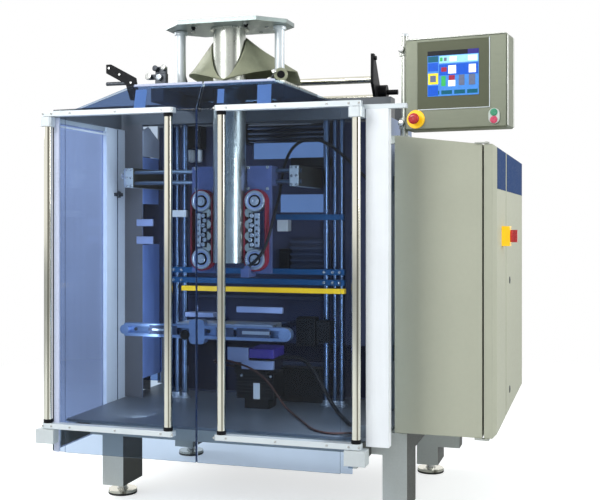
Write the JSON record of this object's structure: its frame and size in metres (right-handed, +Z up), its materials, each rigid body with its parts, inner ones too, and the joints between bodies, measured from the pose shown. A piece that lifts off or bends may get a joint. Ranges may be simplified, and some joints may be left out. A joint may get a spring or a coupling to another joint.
{
  "type": "vertical form fill seal machine",
  "caption": "Vertical form fill seal machine with hinged tinted guard doors, forming tube and collar, film pull belts, sealing jaws, side cabinet and operator panel.",
  "frame": {"origin": "middle of the machine's bounding box, at floor level", "axes": "+Z up, front with the guard doors towards -Y, electrical cabinet towards +X"},
  "size_m": [1.6784, 1.348, 1.81],
  "materials": {
    "guard_sheet": "blue-tinted transparent polycarbonate",
    "bar": "satin anodised extrusion",
    "chrome": "polished tube",
    "clamp": "pale moulded block",
    "strip": "pale satin sheet",
    "frame_grey": "dark grey paint",
    "deck_grey": "dark grey paint",
    "cabinet": "beige grey textured paint",
    "stainless": "brushed stainless steel",
    "collar_steel": "polished collar sheet",
    "belt": "dark red rubber",
    "black": "black moulded plastic",
    "seal": "black gasket",
    "yellow": "yellow enamel",
    "steel_blue": "blue grey paint",
    "bezel": "grey brown front frame",
    "screen": "lit display glass",
    "red": "red push button",
    "button": "green and red rocker",
    "aluminium": "machined plate"
  },
  "bodies": {
    "frame": {"base_frame": "frame_grey", "levelling_feet": "chrome", "floor_plate": "deck_grey", "left_column": "frame_grey", "right_column": "frame_grey", "head_frame": "frame_grey", "forming_deck": "stainless", "bulkhead": "frame_grey", "forming_tube": "stainless", "inlet_plate": "stainless", "plate_posts": "bar", "forming_shoulder": "collar_steel", "left_side_rail": "bar", "right_hinge_arm": "bar", "hinge_blocks": "clamp", "left_side_panel": "guard_sheet", "left_post_strip": "strip", "right_front_strip": "strip", "cabinet_body": "cabinet", "cabinet_mounts": "frame_grey", "cabinet_seal": "seal", "cabinet_hinges": "stainless", "hmi_post": "stainless", "carriage_rails": "chrome", "rail_blocks": "aluminium", "guide_rods": "chrome", "cross_bars": "steel_blue", "yellow_bar": "yellow", "sealing_jaws": "aluminium", "jaw_beam": "aluminium", "jaw_drive": "black", "film_rollers": "chrome", "roller_brackets": "black", "drive_hose": "seal", "floor_cable": "seal", "cable_loop": "seal", "left_belt": "belt", "left_belt_pulleys": "stainless", "left_carriage": "aluminium", "right_belt": "belt", "right_belt_pulleys": "stainless", "right_carriage": "aluminium"},
    "left_door": {"left_door_sheet": "guard_sheet", "left_door_bars": "bar", "left_door_handle": "chrome", "left_door_hinge_tube": "bar"},
    "right_door": {"right_door_sheet": "guard_sheet", "right_door_bars": "bar", "right_door_handle": "chrome", "right_door_hinge_tube": "bar"},
    "cabinet_front_leaf": {"cabinet_front_door": "cabinet", "main_switch_plate": "yellow"},
    "cabinet_rear_leaf": {"cabinet_rear_door": "cabinet"},
    "switch_handle": {"main_switch": "red"},
    "operator_panel": {"hmi_box": "stainless", "hmi_clamps": "stainless", "hmi_bezel": "bezel", "hmi_screen": "screen", "stop_button": "red", "start_button": "button"}
  },
  "joints": [
    {"name": "left_door_hinge", "type": "hinge", "parent": "frame", "child": "left_door", "pos_m": [-0.8032, -0.649, 0.88], "axis": [0, 0, -1], "range_deg": [0, 100]},
    {"name": "right_door_hinge", "type": "hinge", "parent": "frame", "child": "right_door", "pos_m": [0.3508, -0.649, 0.88], "axis": [0, 0, 1], "range_deg": [0, 100]},
    {"name": "cabinet_front_hinge", "type": "hinge", "parent": "frame", "child": "cabinet_front_leaf", "pos_m": [0.7528, -0.439, 0.83], "axis": [0, 0, -1], "range_deg": [0, 105]},
    {"name": "cabinet_rear_hinge", "type": "hinge", "parent": "frame", "child": "cabinet_rear_leaf", "pos_m": [0.7528, 0.665, 0.83], "axis": [0, 0, 1], "range_deg": [0, 105]},
    {"name": "main_switch_turn", "type": "hinge", "parent": "cabinet_front_leaf", "child": "switch_handle", "pos_m": [0.7868, -0.232, 1.012], "axis": [1, 0, 0], "range_deg": [0, 90]},
    {"name": "operator_panel_swivel", "type": "hinge", "parent": "frame", "child": "operator_panel", "pos_m": [0.4168, -0.155, 1.57], "axis": [0, 0, 1], "range_deg": [-40, 40]}
  ]
}
